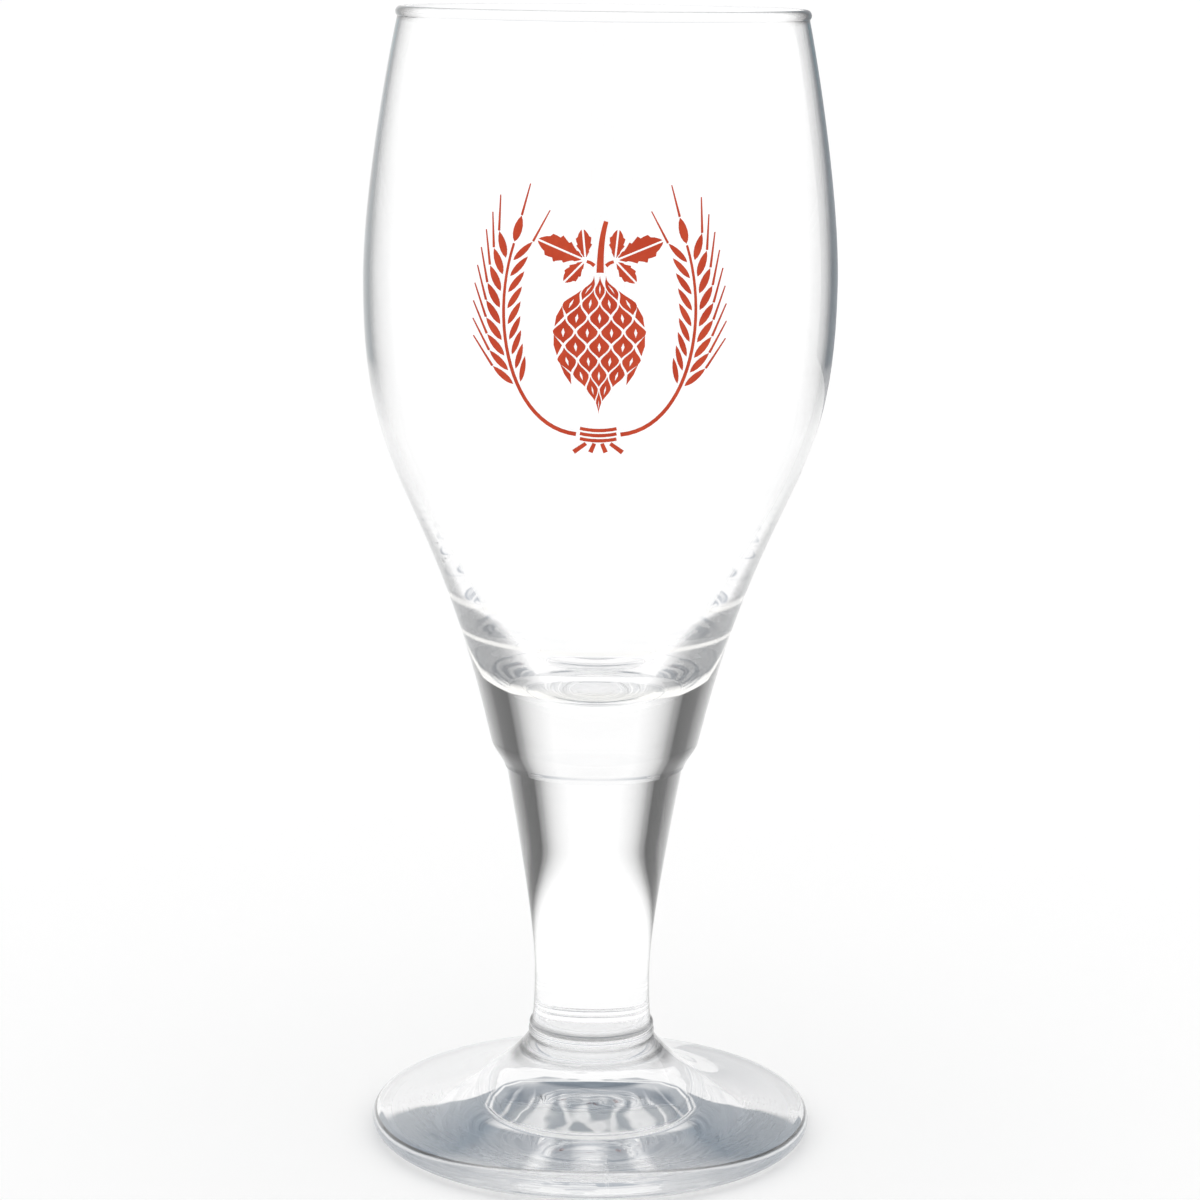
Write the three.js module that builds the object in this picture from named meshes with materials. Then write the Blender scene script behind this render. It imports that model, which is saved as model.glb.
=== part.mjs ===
// Stemmed tasting glass: a blown bowl, a solid stem and a pressed foot, fused hot,
// with a fired enamel print on the front of the bowl.
// Millimetres, +Z up. The origin is the centre of the resting plane, and the print faces -Y.

import * as THREE from 'three';
import { mergeVertices } from 'three/addons/utils/BufferGeometryUtils.js';
import { TessellateModifier } from 'three/addons/modifiers/TessellateModifier.js';

// Foot. A fullness is the share of a curve's reach that its handle takes.
const FOOT_DIAMETER = 63.9;
const FOOT_HEIGHT = 15.5;
const FOOT_EDGE_THICKNESS = 3.0;
const FOOT_EDGE_LIFT = 0.4;
const FOOT_SWEEP = 16;
const FOOT_EDGE_RISE = 1;
const BOSS_LEAN = 1.7;
const BOSS_FLARE = 0.2;
const REST_RING_OUTER_DIAMETER = 58;
const REST_RING_INNER_DIAMETER = 50;
const HOLLOW_HEIGHT = 0.3;
const PUNT_DIAMETER = 27;
const PUNT_HEIGHT = 4.5;
const PUNT_TOP_FULLNESS = 0.55;
const PUNT_SIDE_FULLNESS = 0.5;
const PUNT_SIDE_LEAN = 0.4;

// Stem
const STEM_LENGTH = 39.3;
const STEM_TOP_DIAMETER = 25.4;
const STEM_WAIST_DIAMETER = 16.7;
const STEM_WAIST_HEIGHT = 8;
const STEM_BASE_DIAMETER = 17.8;
const STEM_TAPER = 0.175;
const ANKLE_FLARE = 0.6;
const ANKLE_LOW_FULLNESS = 0.35;
const ANKLE_HIGH_FULLNESS = 0.4;
const SHANK_LOW_FULLNESS = 0.2;
const SHANK_HIGH_FULLNESS = 0.48;

// Bowl, outside
const BOWL_HEIGHT = 107;
const WELD_STEP = 0.25;
const COLLAR_DIAMETER = 29.9;
const COLLAR_EDGE_HEIGHT = 3.8;
const COLLAR_TAPER = 0.23;
const COLLAR_STEP_FLARE = 0.2;
const COLLAR_EDGE_FULLNESS = 0.35;
const COLLAR_FULLNESS = 0.6;
const BELLY_DIAMETER = 66.2;
const BELLY_HEIGHT = 69.2;
const BELLY_LOW_FULLNESS = 0.455;
const BELLY_HIGH_FULLNESS = 0.35;
const RIM_DIAMETER = 56.8;
const RIM_BEAD_DIAMETER = 1.6;
const RIM_LEAN = 0.22;
const RIM_FULLNESS = 0.11;

// Bowl, inside
const BASE_THICKNESS = 10.5;
const SHOULDER_HEIGHT = 24;
const SHOULDER_WALL = 3;
const SHOULDER_FLARE = 0.5;
const SHOULDER_HIGH_FULLNESS = 0.44;
const SHOULDER_LOW_FULLNESS = 0.52;
const INSIDE_BELLY_FULLNESS = 0.45;
const FLOOR_FULLNESS = 0.54;
const BELLY_WALL = 1.3;
const RIM_WALL = 1.2;

// Enamel print, measured as it is seen from the front, from its middle
const PRINT_HEIGHT = 67.8;
const FILM_THICKNESS = 0.08;
const FILM_CLEARANCE = 0.05;
const PATCH_GAP = 0.8;
const CONE_TOP = 5;
const CONE_WIDTH = 12.6;
const CONE_HEIGHT = 17;
const CONE_ROWS = 9;
const CONE_NICK = 0.1;
const CONE_END_SHARE = 0.12;
const STALK_WIDTH = 0.9;
const STALK_LENGTH = 6.8;
const LEAF_LENGTH = 6.4;
const LEAF_LEAN = 22;
const SIDE_LOBE_ANGLE = 65;
const SIDE_LOBE_LENGTH = 3.8;
const LOBE_WIDTH_SHARE = 0.46;
const LOBE_ROOT_SHARE = 0.2;
const LOBE_WIDEST_SHARE = 0.55;
const TIE_WIDTH = 4.8;
const TIE_DROP = 2.3;
const TIE_HEIGHT = 2.1;
const STRAW_END_LENGTH = 1.4;
const STRAW_END_SPREAD = 7;
const STRAW_WIDTH = 0.5;
const STRAW_SHARE = 0.42;
const EAR_WIDTH = 4.4;
const EAR_GRAINS = 9;
const EAR_NICK = 0.3;
const EAR_END_SHARE = 0.12;
const EAR_RISE = 28.3;
const EAR_LOW_RISE = 0.8;
const EAR_LOW_REACH = 11.5;
const EAR_BOW_RISE = 15.8;
const EAR_BOW_REACH = 15.4;
const EAR_TOP_REACH = 10.1;

// Fineness of the round surfaces
const AROUND = 56;
const FILM_EDGE = 2.6;

const RIM_BEAD_RADIUS = RIM_BEAD_DIAMETER / 2;
const RIM_RADIUS = RIM_DIAMETER / 2;
const BELLY_RADIUS = BELLY_DIAMETER / 2;
const BEAD_CENTRE = new THREE.Vector2(RIM_RADIUS - RIM_WALL / 2, BOWL_HEIGHT - RIM_BEAD_RADIUS);
const NECK_HEIGHT = BOWL_HEIGHT - RIM_BEAD_DIAMETER;

const point = (radius, height) => new THREE.Vector2(radius, height);

// A cubic curve in the plane of a profile, from its ends and its two handles
function sweep(start, startHandle, endHandle, end) {
  return new THREE.CubicBezierCurve(start, startHandle, endHandle, end);
}

function arc(centre, radius, fromAngle, toAngle) {
  const clockwise = toAngle < fromAngle;
  return new THREE.EllipseCurve(centre.x, centre.y, radius, radius, fromAngle, toAngle, clockwise);
}

// A closed solid of revolution about +Z from a profile of [curve, steps] pairs and single points
function revolve(profile) {
  const points = profile.flatMap((item) => (Array.isArray(item) ? item[0].getPoints(item[1]) : [item]));
  const distinct = points.filter((p, i) => i === 0 || p.distanceTo(points[i - 1]) > 1e-6);
  const geometry = new THREE.LatheGeometry(distinct, AROUND);
  return welded(geometry.rotateX(Math.PI / 2));
}

// One closed skin: shared corners are merged and the collapsed triangles on the axis go
function welded(geometry) {
  const bare = geometry.clone();
  bare.deleteAttribute('normal');
  bare.deleteAttribute('uv');
  const merged = mergeVertices(bare, 1e-4);
  const corners = Array.from(merged.index.array);
  const kept = [];
  for (let i = 0; i < corners.length; i += 3) {
    const [a, b, c] = corners.slice(i, i + 3);
    if (a !== b && b !== c && c !== a) kept.push(a, b, c);
  }
  merged.setIndex(kept);
  merged.computeVertexNormals();
  return merged;
}

// Outside of the bowl, from the collar to the belly and on to the neck under the rim's bead
const BELLY_RISE = BELLY_HEIGHT - COLLAR_EDGE_HEIGHT;
const NECK_RISE = NECK_HEIGHT - BELLY_HEIGHT;
const bowlLower = sweep(
  point(COLLAR_DIAMETER / 2, COLLAR_EDGE_HEIGHT),
  point(COLLAR_DIAMETER / 2 + COLLAR_TAPER * COLLAR_FULLNESS * BELLY_RISE,
    COLLAR_EDGE_HEIGHT + COLLAR_FULLNESS * BELLY_RISE),
  point(BELLY_RADIUS, BELLY_HEIGHT - BELLY_LOW_FULLNESS * BELLY_RISE),
  point(BELLY_RADIUS, BELLY_HEIGHT),
);
const bowlUpper = sweep(
  point(BELLY_RADIUS, BELLY_HEIGHT),
  point(BELLY_RADIUS, BELLY_HEIGHT + BELLY_HIGH_FULLNESS * NECK_RISE),
  point(RIM_RADIUS + RIM_LEAN * RIM_FULLNESS * NECK_RISE, NECK_HEIGHT - RIM_FULLNESS * NECK_RISE),
  point(RIM_RADIUS, NECK_HEIGHT),
);

// Height on a profile curve to its radius, by halving
function radiusAt(curve, height) {
  let low = 0;
  let high = 1;
  for (let i = 0; i < 40; i += 1) {
    const middle = (low + high) / 2;
    if (curve.getPoint(middle).y < height) low = middle;
    else high = middle;
  }
  return curve.getPoint(low).x;
}

function bowlRadiusAt(height) {
  return radiusAt(height < BELLY_HEIGHT ? bowlLower : bowlUpper, height);
}

function bowl() {
  const padRadius = STEM_TOP_DIAMETER / 2 + WELD_STEP;
  const collarRadius = COLLAR_DIAMETER / 2;
  const edgeReach = COLLAR_EDGE_FULLNESS * COLLAR_EDGE_HEIGHT;
  const collarEdge = sweep(
    point(padRadius, 0),
    point(padRadius + COLLAR_STEP_FLARE * (collarRadius - padRadius), edgeReach),
    point(collarRadius - COLLAR_TAPER * edgeReach, COLLAR_EDGE_HEIGHT - edgeReach),
    point(collarRadius, COLLAR_EDGE_HEIGHT),
  );
  const bead = arc(BEAD_CENTRE, RIM_BEAD_RADIUS, -Math.PI / 4, 1.25 * Math.PI);
  const insideBelly = point(BELLY_RADIUS - BELLY_WALL, BELLY_HEIGHT);
  const insideRim = point(RIM_RADIUS - RIM_WALL, NECK_HEIGHT);
  const insideUpper = sweep(
    insideRim,
    point(insideRim.x + RIM_LEAN * RIM_FULLNESS * NECK_RISE, NECK_HEIGHT - RIM_FULLNESS * NECK_RISE),
    point(insideBelly.x, BELLY_HEIGHT + BELLY_HIGH_FULLNESS * NECK_RISE),
    insideBelly,
  );
  const shoulder = point(bowlRadiusAt(SHOULDER_HEIGHT) - SHOULDER_WALL, SHOULDER_HEIGHT);
  const depth = BELLY_HEIGHT - SHOULDER_HEIGHT;
  const above = SHOULDER_HIGH_FULLNESS * depth;
  const insideLower = sweep(
    insideBelly,
    point(insideBelly.x, BELLY_HEIGHT - INSIDE_BELLY_FULLNESS * depth),
    point(shoulder.x + SHOULDER_FLARE * above, SHOULDER_HEIGHT + above),
    shoulder,
  );
  const below = SHOULDER_LOW_FULLNESS * (SHOULDER_HEIGHT - BASE_THICKNESS);
  const floor = sweep(
    shoulder,
    point(shoulder.x - SHOULDER_FLARE * below, SHOULDER_HEIGHT - below),
    point(FLOOR_FULLNESS * shoulder.x, BASE_THICKNESS),
    point(0, BASE_THICKNESS),
  );
  return revolve([
    point(0, 0), [collarEdge, 4], [bowlLower, 13], [bowlUpper, 7], [bead, 8],
    [insideUpper, 6], [insideLower, 8], [floor, 7],
  ]);
}

function stem() {
  const waist = point(STEM_WAIST_DIAMETER / 2, STEM_WAIST_HEIGHT);
  const top = point(STEM_TOP_DIAMETER / 2, STEM_LENGTH);
  const base = point(STEM_BASE_DIAMETER / 2, 0);
  const reach = STEM_LENGTH - STEM_WAIST_HEIGHT;
  const ankle = sweep(
    base,
    point(base.x - ANKLE_FLARE * (base.x - waist.x), ANKLE_LOW_FULLNESS * STEM_WAIST_HEIGHT),
    point(waist.x, STEM_WAIST_HEIGHT - ANKLE_HIGH_FULLNESS * STEM_WAIST_HEIGHT),
    waist,
  );
  const below = SHANK_HIGH_FULLNESS * reach;
  const shank = sweep(
    waist,
    point(waist.x, STEM_WAIST_HEIGHT + SHANK_LOW_FULLNESS * reach),
    point(top.x - STEM_TAPER * below, STEM_LENGTH - below),
    top,
  );
  return revolve([point(0, 0), [ankle, 4], [shank, 9], point(0, STEM_LENGTH)]);
}

function foot() {
  const edgeRadius = FOOT_EDGE_THICKNESS / 2;
  const edgeCentre = point(FOOT_DIAMETER / 2 - edgeRadius, FOOT_EDGE_LIFT + edgeRadius);
  const edge = arc(edgeCentre, edgeRadius, -Math.PI / 2, Math.PI / 2);
  const edgeTop = point(edgeCentre.x, FOOT_EDGE_LIFT + FOOT_EDGE_THICKNESS);
  const bossRadius = STEM_BASE_DIAMETER / 2;
  const top = sweep(
    edgeTop,
    point(edgeTop.x - FOOT_SWEEP, edgeTop.y + FOOT_EDGE_RISE),
    point(bossRadius + BOSS_FLARE * BOSS_LEAN, FOOT_HEIGHT - BOSS_LEAN),
    point(bossRadius, FOOT_HEIGHT),
  );
  const puntRadius = PUNT_DIAMETER / 2;
  const puntSide = PUNT_SIDE_FULLNESS * (PUNT_HEIGHT - HOLLOW_HEIGHT);
  const punt = sweep(
    point(0, PUNT_HEIGHT),
    point(PUNT_TOP_FULLNESS * puntRadius, PUNT_HEIGHT),
    point(puntRadius - PUNT_SIDE_LEAN * puntSide, HOLLOW_HEIGHT + puntSide),
    point(puntRadius, HOLLOW_HEIGHT),
  );
  return revolve([
    [punt, 6], point(REST_RING_INNER_DIAMETER / 2, 0), point(REST_RING_OUTER_DIAMETER / 2, 0),
    [edge, 6], [top, 10], point(0, FOOT_HEIGHT),
  ]);
}

// A patch of enamel: a flat outline, given its film thickness and laid on the front of the bowl
function patch(outline, centreHeight) {
  const shape = new THREE.Shape(outline);
  const flat = new THREE.ExtrudeGeometry(shape, { depth: FILM_THICKNESS, bevelEnabled: false });
  const fine = new TessellateModifier(FILM_EDGE, 8).modify(flat);
  const laid = welded(fine);
  const place = laid.getAttribute('position');
  for (let i = 0; i < place.count; i += 1) {
    const height = centreHeight + place.getY(i);
    const radius = bowlRadiusAt(height) + FILM_CLEARANCE + place.getZ(i);
    const turn = Math.asin(place.getX(i) / radius);
    place.setXYZ(i, radius * Math.sin(turn), -radius * Math.cos(turn), height);
  }
  laid.computeVertexNormals();
  return laid;
}

// Scale-like edge of a seed head: 1 at the middle of each scale and a little less between scales
function scallop(share, count, depth) {
  return 1 - depth + depth * Math.abs(Math.sin(Math.PI * count * share));
}

// Both sides of a slender shape along a curve, as one closed outline
function outlineAlong(curve, halfWidthAt, steps) {
  const sides = [[], []];
  for (let i = 0; i <= steps; i += 1) {
    const share = i / steps;
    const middle = curve.getPointAt(share);
    const along = curve.getTangentAt(share);
    const across = point(-along.y, along.x).multiplyScalar(halfWidthAt(share));
    sides[0].push(middle.clone().add(across));
    sides[1].unshift(middle.clone().sub(across));
  }
  return [...sides[0], ...sides[1]];
}

const mirrored = (outline) => outline.map((p) => point(-p.x, p.y)).reverse();

const TIE_MIDDLE = CONE_TOP - CONE_HEIGHT - TIE_DROP - TIE_HEIGHT / 2;

function coneOutline() {
  const spine = new THREE.LineCurve(point(0, CONE_TOP), point(0, CONE_TOP - CONE_HEIGHT));
  const swell = (share) => Math.max(CONE_END_SHARE, Math.sin(Math.PI * share ** 0.8) ** 0.7);
  const halfWidthAt = (share) => (CONE_WIDTH / 2) * swell(share) * scallop(share, CONE_ROWS / 2, CONE_NICK);
  return outlineAlong(spine, halfWidthAt, CONE_ROWS * 2);
}

function stalkOutline() {
  const start = point(0, CONE_TOP + PATCH_GAP);
  const end = point(STALK_WIDTH, start.y + STALK_LENGTH);
  const line = new THREE.QuadraticBezierCurve(start, point(0, start.y + STALK_LENGTH / 2), end);
  return outlineAlong(line, () => STALK_WIDTH / 2, 6);
}

// Three-lobed leaf beside the stalk, pointing out and up
function leafOutline() {
  const base = point(STALK_WIDTH + PATCH_GAP, CONE_TOP + PATCH_GAP + 2 * STALK_WIDTH);
  const halfLobe = LOBE_WIDTH_SHARE / 2;
  const sides = [point(LOBE_WIDEST_SHARE, -halfLobe), point(1, 0), point(LOBE_WIDEST_SHARE, halfLobe)];
  const turned = (spot, length, angle) => {
    const lean = THREE.MathUtils.degToRad(LEAF_LEAN + angle);
    return spot.clone().multiplyScalar(length).rotateAround(point(0, 0), lean).add(base);
  };
  const notch = (angle) => turned(point(LOBE_ROOT_SHARE, 0), LEAF_LENGTH, angle);
  return [
    base,
    ...sides.map((spot) => turned(spot, SIDE_LOBE_LENGTH, -SIDE_LOBE_ANGLE)),
    notch(-SIDE_LOBE_ANGLE / 2),
    ...sides.map((spot) => turned(spot, LEAF_LENGTH, 0)),
    notch(SIDE_LOBE_ANGLE / 2),
    ...sides.map((spot) => turned(spot, SIDE_LOBE_LENGTH, SIDE_LOBE_ANGLE)),
  ];
}

// Barley ear on its straw, bowed out round the hop cone
function earOutline() {
  const line = new THREE.CubicBezierCurve(
    point(TIE_WIDTH / 2 + PATCH_GAP, TIE_MIDDLE),
    point(EAR_LOW_REACH, TIE_MIDDLE + EAR_LOW_RISE),
    point(EAR_BOW_REACH, TIE_MIDDLE + EAR_BOW_RISE),
    point(EAR_TOP_REACH, TIE_MIDDLE + EAR_RISE),
  );
  const halfWidthAt = (share) => {
    if (share < STRAW_SHARE) return STRAW_WIDTH / 2;
    const seed = (share - STRAW_SHARE) / (1 - STRAW_SHARE);
    const swell = Math.sqrt(Math.sin(Math.PI * Math.min(1, EAR_END_SHARE + (1 - EAR_END_SHARE) * seed)));
    return Math.max(STRAW_WIDTH / 2, (EAR_WIDTH / 2) * swell * scallop(seed, EAR_GRAINS, EAR_NICK));
  };
  return outlineAlong(line, halfWidthAt, EAR_GRAINS * 5);
}

// Band round the straws, with their cut ends spread below it
function tieOutline() {
  const top = TIE_MIDDLE + TIE_HEIGHT / 2;
  const bottom = TIE_MIDDLE - TIE_HEIGHT / 2;
  const right = [
    point(TIE_WIDTH / 2, top),
    point(TIE_WIDTH / 2, bottom),
    point(STRAW_END_SPREAD / 2, bottom - STRAW_END_LENGTH),
  ];
  return [...right, ...mirrored(right)];
}

const clearGlass = () => new THREE.MeshStandardMaterial({
  color: 0xf1f5f4, roughness: 0.03, metalness: 0, transparent: true, opacity: 0.35,
});
const enamel = () => new THREE.MeshStandardMaterial({ color: 0xc8481f, roughness: 0.4, metalness: 0 });

function named(name, geometry, material) {
  const mesh = new THREE.Mesh(geometry, material);
  mesh.name = name;
  return mesh;
}

const glass = new THREE.Group();
glass.add(named('foot', foot(), clearGlass()));

const stemGroup = new THREE.Group();
stemGroup.position.z = FOOT_HEIGHT;
stemGroup.add(named('stem', stem(), clearGlass()));
glass.add(stemGroup);

const bowlGroup = new THREE.Group();
bowlGroup.position.z = STEM_LENGTH;
bowlGroup.add(named('bowl', bowl(), clearGlass()));
stemGroup.add(bowlGroup);

const print = {
  print_hop_cone: coneOutline(),
  print_hop_stalk: stalkOutline(),
  print_leaf_right: leafOutline(),
  print_leaf_left: mirrored(leafOutline()),
  print_ear_right: earOutline(),
  print_ear_left: mirrored(earOutline()),
  print_tie: tieOutline(),
};
for (const [name, outline] of Object.entries(print)) {
  bowlGroup.add(named(name, patch(outline, PRINT_HEIGHT), enamel()));
}

export default glass;
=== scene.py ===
"""Stemmed tasting glass: turned clear glass, a fired enamel emblem and a white studio."""

import math
from types import SimpleNamespace

import bpy
from bpy.props import FloatProperty, FloatVectorProperty, IntProperty, PointerProperty
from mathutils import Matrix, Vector


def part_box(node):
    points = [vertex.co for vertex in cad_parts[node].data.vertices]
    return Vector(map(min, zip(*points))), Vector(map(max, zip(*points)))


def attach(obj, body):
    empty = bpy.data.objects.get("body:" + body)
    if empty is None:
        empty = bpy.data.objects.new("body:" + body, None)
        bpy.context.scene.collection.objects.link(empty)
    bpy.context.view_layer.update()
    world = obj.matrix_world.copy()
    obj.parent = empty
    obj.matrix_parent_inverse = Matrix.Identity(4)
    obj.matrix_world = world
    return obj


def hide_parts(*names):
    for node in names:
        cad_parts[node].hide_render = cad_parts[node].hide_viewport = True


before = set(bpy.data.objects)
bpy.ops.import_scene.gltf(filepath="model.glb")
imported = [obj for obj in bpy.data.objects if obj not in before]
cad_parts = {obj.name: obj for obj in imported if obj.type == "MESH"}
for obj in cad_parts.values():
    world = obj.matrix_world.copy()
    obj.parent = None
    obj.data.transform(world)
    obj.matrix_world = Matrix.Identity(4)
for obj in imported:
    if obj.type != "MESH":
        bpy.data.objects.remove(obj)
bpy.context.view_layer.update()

bl_info = {
    "name": "Tasting glass",
    "version": (1, 0, 0),
    "blender": (4, 5, 0),
    "location": "View3D > Sidebar > Glass",
    "description": "Builds a stemmed tasting glass with an enamel emblem, and its studio",
    "category": "Add Mesh",
}

MM = 0.001
BODY = "root"
FOOT_LOW, FOOT_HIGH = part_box("foot")
STEM_LOW, STEM_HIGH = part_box("stem")
BOWL_LOW, BOWL_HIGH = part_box("bowl")
WHITE = (1.0, 1.0, 1.0, 1.0)
BLACK = (0.0, 0.0, 0.0)

# Shape beside the sizes that a user would change: the boss where foot and stem meet, the collar under the
# bowl, the bead on its rim, and the handles of the upper wall's curve as shares of its height
BOSS_RADIUS = 8.9 * MM
COLLAR = (14.95 * MM, 3.8 * MM)
COLLAR_LEAN = 0.23
BEAD_RADIUS = 0.8 * MM
BELLY_HANDLE = Vector((0, 0.35))
NECK_HANDLE = Vector((0.0242, -0.11))

# Steps round each turned piece, how near two points of a mesh are before they become one, and how near a
# weld's height a face of it lies
AROUND = 192
MERGE = 0.002 * MM
FILM_MERGE = 0.005 * MM
WELD_NEAR = 0.01 * MM

# Ripples, clouds and grains to the metre, the values between which most of a noise lies, and the enamel's
# roughness
SOLID_RIPPLES = 160.0
BOWL_RIPPLES = 90.0
FOOT_CLOUDS = 260.0
ENAMEL_CLOUDS = 420.0
ENAMEL_GRAINS = 5200.0
NOISE_SPREAD = (0.3, 0.7)
ENAMEL_ROUGHNESS = (0.36, 0.5)

# Relief of the pressed foot: dents in the punt, broken ridges round the slope, and the mould's seam
PUNT_CEILING = 6 * MM
RIDGES = [(21, 0.0), (22, 1.0), (27.5, 1.0), (28.5, 0.0)]
RIDGE_STEP = 0.9 * MM
RIDGE_BREAKS = (0.5, 0.62)
RIDGE_HEIGHT = 0.1
SEAM = [(2.2, 0.0), (2.4, 0.3), (2.6, 0.0)]
SEAM_BACK = -24 * MM

# Shade and light painted into the glass's colour, in place of the dark and bright surroundings that
# the glass would refract and mirror, as stops of a ramp. A stop starts with the share by which the surface
# turns from sight, or with a height, radius or distance in mm. Then comes a level, where 1 is clear and 0
# the deep colour, the strength of a line or fade, or where an edge lies. A BAND holds the two values
# between which one painted shade gives way to the next.
# Colours of the painted light and shade: a cool deep grey, a cream for painted highlights, and a brown for
# the painted shade on the bead
COOL_SHADE = (0.0, 0.006, 0.011)
CREAM_HIGHLIGHT = (1.0, 0.985, 0.93, 1.0)
BROWN_SHADE = (0.03, 0.018, 0.01)

# Painted shade on the solid glass: dark sides of the stem and the bowl's base, their end above the waist,
# and a dark ring at the weld
SOLID_SHADE = [(0.10, 1.0), (0.19, 0.6), (0.28, 0.12), (0.34, 0.01), (0.5, 0.01), (0.77, 0.14), (1.0, 0.6)]
WAIST_BAND = (25 * MM, 45 * MM)
WAIST_SHIFT = (0.6, -0.04)
WELD_RING = [(15.6, 1.0), (15.9, 0.25), (16.4, 0.25), (16.8, 1.0)]

# Painted shade on the thin wall: dim edges at the belly, dim edges under the rim, and a darker bead
WALL_SHADE = [
    (0.49, 1.0), (0.56, 0.77), (0.638, 0.54), (0.685, 0.36), (0.71, 0.2), (0.741, 0.08), (0.775, 0.01),
    (1.0, 0.0)]
WALL_FADE = [(88, 0.0), (97, 0.4), (104.5, 0.4), (114, 1.0)]
RIM_SHADE = [(0.55, 1.0), (0.60, 0.93), (0.69, 0.6), (0.745, 0.32), (0.785, 0.05), (0.83, 0.0), (1.0, 0.0)]
RIM_BAND = (125 * MM, 158 * MM)
BEAD_SHADE = [(0.5, 1.0), (0.62, 0.6), (0.72, 0.25), (0.85, 0.03), (1.0, 0.0)]
BEAD_BAND = (159.7 * MM, 160.3 * MM)

# Base of the bowl: top of its solid glass in mm, a painted crescent of light on it, and painted grey shade
# and rings of light on the shoulders above
BASE_TOP = [(0.3, 67.6), (0.4, 68.0), (0.6, 68.7), (0.755, 71.0), (0.83, 73.5), (1.0, 77.0)]
BASE_BAND = (0.1 * MM, 0.35 * MM)
CRESCENT = [(0.1, 0.0), (0.35, 1.0), (1.2, 1.0), (1.9, 0.0)]
SHOULDER_EDGE = [
    (66, 0.05), (70, 0.07), (73, 0.12), (75.7, 0.15), (78.7, 0.23), (80, 0.38), (81.6, 0.47), (90, 0.56),
    (97, 0.64), (104, 0.75)]
SHOULDER_SHADE = [
    (0.03, 1.0), (0.06, 0.7), (0.085, 0.5), (0.12, 0.3), (0.19, 0.155), (0.30, 0.14), (0.39, 0.12),
    (0.48, 0.10)]
SHOULDER_FADE = [(80, 0.0), (90, 0.12), (97, 0.55), (102, 1.0)]
SHOULDER_RINGS = [
    (74.6, 0.0), (74.9, 0.7), (75.2, 0.7), (75.5, 0.0), (79.6, 0.0), (80.0, 0.7), (80.4, 0.7), (80.9, 0.0)]

# Painted shade and light on the foot's slope: where its near side ends, where it is seen too steeply for
# the painted grey, the grey, and its painted lights
FOOT_FRONT = [
    (11.4, 0.0), (11.85, 0.22), (12.5, 0.30), (13, 0.36), (14, 0.453), (17, 0.53), (21, 0.61), (25, 0.64),
    (29, 0.644), (30.5, 0.646), (32, 0.646)]
FRONT_BAND = (0.0, 0.012)
FOOT_STEEP = [
    (13, 0.36), (17, 0.37), (21, 0.31), (25, 0.25), (29, 0.14), (30.3, 0.14), (30.7, 0.35), (32, 0.6)]
STEEP_BAND = (0.0, 0.08)
FOOT_SHADE = [
    (0.06, 0.24), (0.12, 0.36), (0.19, 0.25), (0.34, 0.075), (0.53, 0.13), (0.76, 0.17), (1.0, 0.2)]
FOOT_MIDDLE = [(0.06, 1.0), (0.25, 0.8), (0.4, 0.0)]
FOOT_ARC = [(19.0, 0.0), (19.6, 1.0), (20.4, 1.0), (21.0, 0.0)]
LIP_BAND = (28 * MM, 30.5 * MM)
LIP_LIGHT = 0.2
FOOT_UPWARD = 0.5

# Punt as the slope shows it, painted: its grey shade, its outline with two painted lines of light, and
# the painted bars of light and shade across it
PUNT_SHADE = [
    (0.06, 0.37), (0.12, 0.44), (0.19, 0.3), (0.27, 0.3), (0.34, 0.4), (0.45, 0.26), (0.53, 0.16),
    (1.0, 0.2)]
PUNT_BAND = (17 * MM, 21 * MM)
PUNT_EDGE = [
    (11.8, 0.06), (12.4, 0.22), (13.2, 0.40), (14.7, 0.53), (16.5, 0.52), (18.2, 0.45), (19.5, 0.25),
    (20, 0.06)]
PUNT_MARGIN = 0.1
PUNT_EDGE_BAND = (0.085, 0.09)
PUNT_LINES = [
    (0.075, 0.0), (0.09, 0.9), (0.105, 0.9), (0.115, 0.0), (0.13, 0.0), (0.145, 0.7), (0.155, 0.7),
    (0.17, 0.0)]
PUNT_BARS = [
    (0.06, 0.18), (0.068, 0.2), (0.078, 0.7), (0.088, 0.65), (0.10, 0.15), (0.12, 0.2), (0.14, 0.8),
    (0.18, 0.7), (0.2, 0.25), (0.235, 0.25), (0.245, 0.9), (0.26, 0.25), (0.33, 0.12), (0.35, 0.7),
    (0.37, 0.12), (0.45, 0.2)]
BARS_BAND = (13 * MM, 15 * MM)
BARS_WAVER = 0.02
PUNT_BACK = [(12.2, 0.08), (12.5, 0.1), (12.9, 0.5), (14, 0.5)]

# Edge of the foot, painted: radius in mm of the painted dark line along it, the line's shades, the painted
# light beyond it, and its painted grey shade
EDGE_LINE = [(0.06, 27.9), (0.13, 28.7), (0.2, 29.6), (0.3, 30.5), (0.45, 31.2), (0.6, 31.5), (1.0, 31.5)]
EDGE_LINE_BAND = (0.0, 0.2 * MM)
EDGE_DARK = [(0.0, 0.0), (0.15, 1.0), (0.6, 1.0), (0.85, 0.0)]
LINE_SHADE = [(0.06, 0.4), (0.15, 0.22), (0.25, 0.08), (0.4, 0.02), (0.7, 0.04), (1.0, 0.15)]
EDGE_LIGHT = [(0.8, 0.0), (0.95, 0.5), (1.2, 0.5), (1.4, 0.0)]
EDGE_SHADE = [(0.06, 0.85), (0.1, 0.75), (0.16, 0.55), (0.25, 0.36), (0.5, 0.22), (1.0, 0.22)]
EDGE_LOW = [(0.45, 0.45), (0.9, 1.0)]
CREST_BAND = (3.1 * MM, 3.2 * MM)
FAR_BAND = (0.67, 0.72)

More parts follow.
